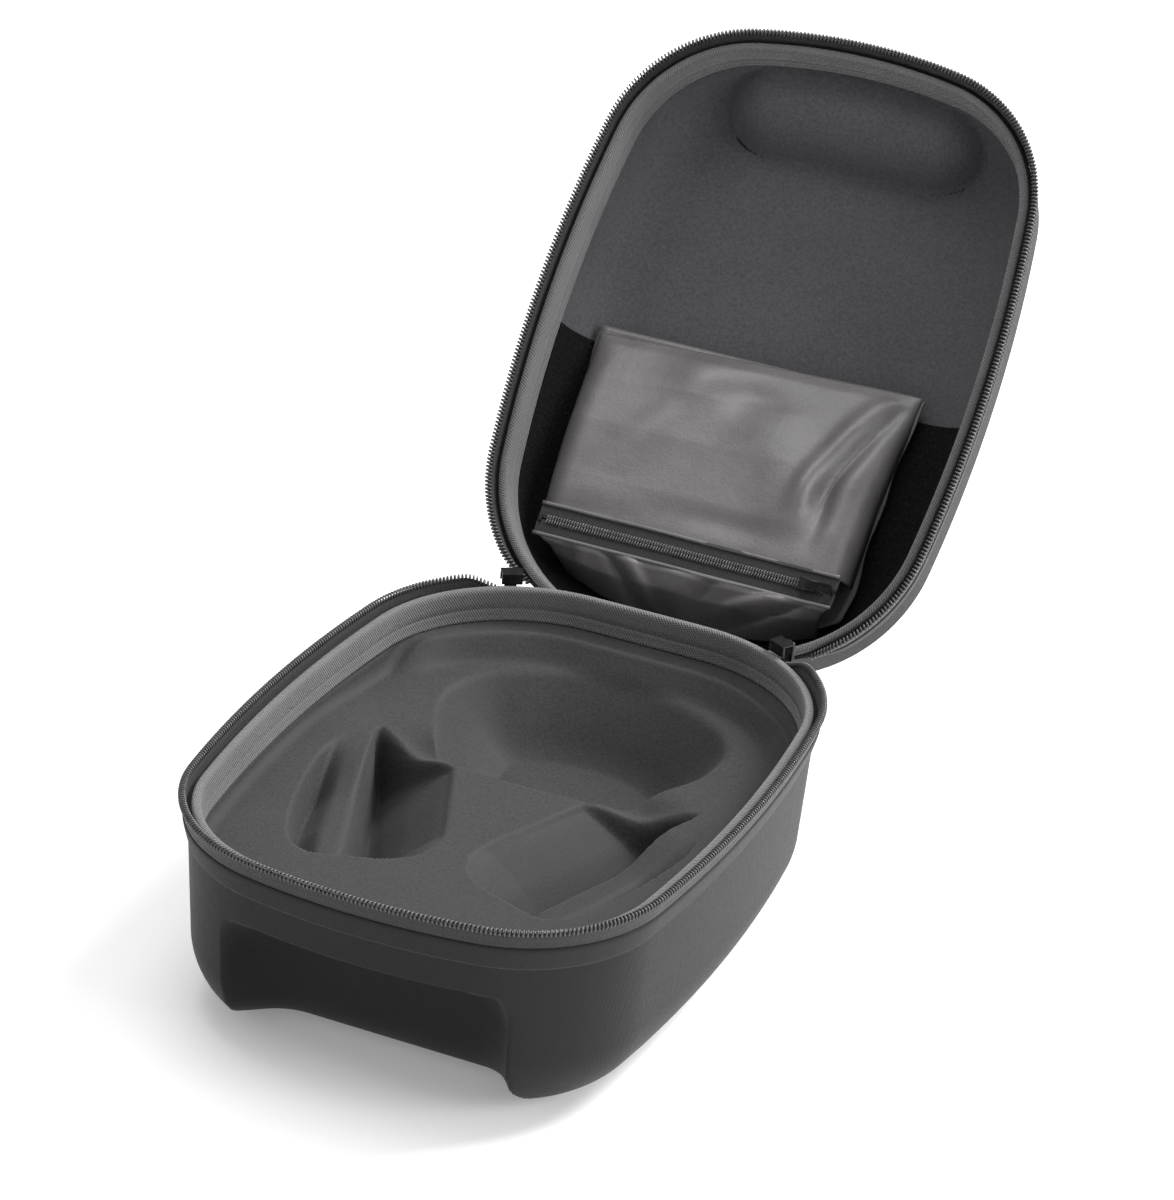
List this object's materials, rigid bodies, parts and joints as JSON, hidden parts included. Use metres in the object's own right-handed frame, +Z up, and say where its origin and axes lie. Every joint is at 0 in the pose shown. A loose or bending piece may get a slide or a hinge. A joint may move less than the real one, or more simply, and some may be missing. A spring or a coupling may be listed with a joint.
{
  "type": "hard-shell headphone case",
  "caption": "Moulded hard-shell zip case for over-ear headphones, open, with a formed tray in the base and a removable zip pouch in the lid.",
  "frame": {"origin": "on the table, under the middle of the zipper outline of the base", "axes": "+Z up, the front with the finger grip towards -Y, the hinge and the open lid towards +Y, X across"},
  "size_m": [0.2, 0.4636, 0.2675],
  "materials": {
    "shell_fabric": "matte",
    "tray_fabric": "matte",
    "binding_tape": "matte",
    "zipper_tape": "matte",
    "zipper_coil": "satin",
    "loop_fabric": "matte",
    "leatherette": "satin",
    "slider_metal": "satin"
  },
  "bodies": {
    "base": {"base_shell": "shell_fabric", "headphone_tray": "tray_fabric", "base_binding": "binding_tape", "base_zipper_tape": "zipper_tape", "base_zipper_coil": "zipper_coil", "hinge_strip": "zipper_tape"},
    "lid": {"lid_shell": "shell_fabric", "lid_binding": "binding_tape", "lid_zipper_tape": "zipper_tape", "lid_zipper_coil": "zipper_coil", "lid_loop_panel": "loop_fabric"},
    "pouch": {"pouch_front_panel": "leatherette", "pouch_lower_panel": "leatherette", "pouch_back_panel": "leatherette", "pouch_hook_patch": "loop_fabric", "pouch_zipper_tape_upper": "zipper_tape", "pouch_zipper_tape_lower": "zipper_tape", "pouch_zipper_coil_upper": "zipper_coil", "pouch_zipper_coil_lower": "zipper_coil", "pouch_zipper_stops": "slider_metal"},
    "left_slider": {"zipper_slider_left": "slider_metal"},
    "right_slider": {"zipper_slider_right": "slider_metal"},
    "left_pull": {"zipper_pull_left": "slider_metal"},
    "right_pull": {"zipper_pull_right": "slider_metal"},
    "pouch_slider": {"pouch_zipper_slider": "slider_metal"},
    "pouch_pull": {"pouch_zipper_pull": "slider_metal"}
  },
  "joints": [
    {"name": "lid_hinge", "type": "hinge", "parent": "base", "child": "lid", "pos_m": [0, 0.1301, 0.076], "axis": [1, 0, 0], "range_deg": [0, 131.1], "deforming": ["hinge_strip"]},
    {"name": "pouch_release", "type": "slide", "parent": "lid", "child": "pouch", "axis": [0, -0.7536, 0.6574], "range_m": [0, 0.028]},
    {"name": "right_slider_run", "type": "hinge", "parent": "base", "child": "right_slider", "pos_m": [0.02422, 0.06291, 0.0859], "axis": [0, 0, -1], "range_deg": [0, 40]},
    {"name": "left_slider_run", "type": "hinge", "parent": "base", "child": "left_slider", "pos_m": [-0.02422, 0.06291, 0.0859], "axis": [0, 0, 1], "range_deg": [0, 40]},
    {"name": "right_pull_swing", "type": "hinge", "parent": "right_slider", "child": "right_pull", "pos_m": [0.06041, 0.12809, 0.08665], "axis": [0.8743, -0.4854, 0], "range_deg": [0, 150]},
    {"name": "left_pull_swing", "type": "hinge", "parent": "left_slider", "child": "left_pull", "pos_m": [-0.06041, 0.12809, 0.08665], "axis": [0.8743, 0.4854, 0], "range_deg": [0, 150]},
    {"name": "pouch_zip", "type": "slide", "parent": "pouch", "child": "pouch_slider", "axis": [-1, 0, 0], "range_m": [0, 0.1]},
    {"name": "pouch_pull_swing", "type": "hinge", "parent": "pouch_slider", "child": "pouch_pull", "pos_m": [0.0485, 0.17415, 0.08946], "axis": [0, -0.6574, -0.7536], "range_deg": [0, 150]}
  ]
}
